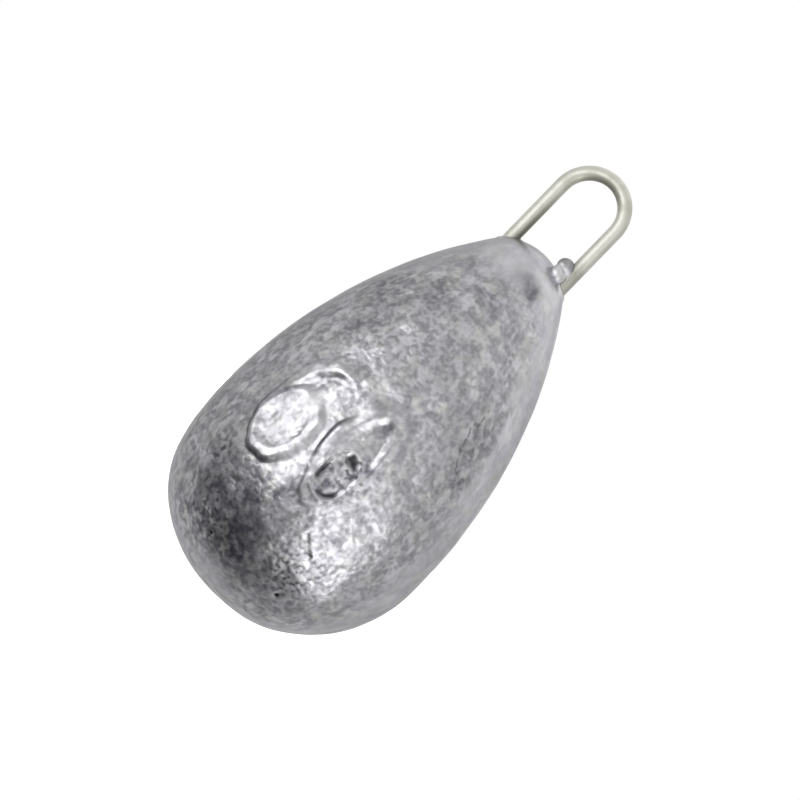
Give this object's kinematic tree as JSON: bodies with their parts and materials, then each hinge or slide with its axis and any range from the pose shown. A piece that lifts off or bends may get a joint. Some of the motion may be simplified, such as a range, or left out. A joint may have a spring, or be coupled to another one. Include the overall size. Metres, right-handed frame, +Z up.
{
  "type": "fishing sinker",
  "caption": "Pear-shaped cast lead fishing sinker with a domed cap, a parting line and a bent wire eye that the line is tied to.",
  "frame": {"origin": "inside the crown of the wire eye, where the line bears and the sinker hangs", "axes": "+Z up along the pear's axis towards the line, the eye and the mould's parting line in the XZ plane, the numbered face towards -Y"},
  "size_m": [0.0186, 0.0184, 0.0382],
  "materials": {
    "cast_lead": "satin",
    "tinned_wire": "satin"
  },
  "bodies": {
    "root": {"lead_body": "cast_lead", "wire_eye": "tinned_wire"}
  },
  "joints": []
}
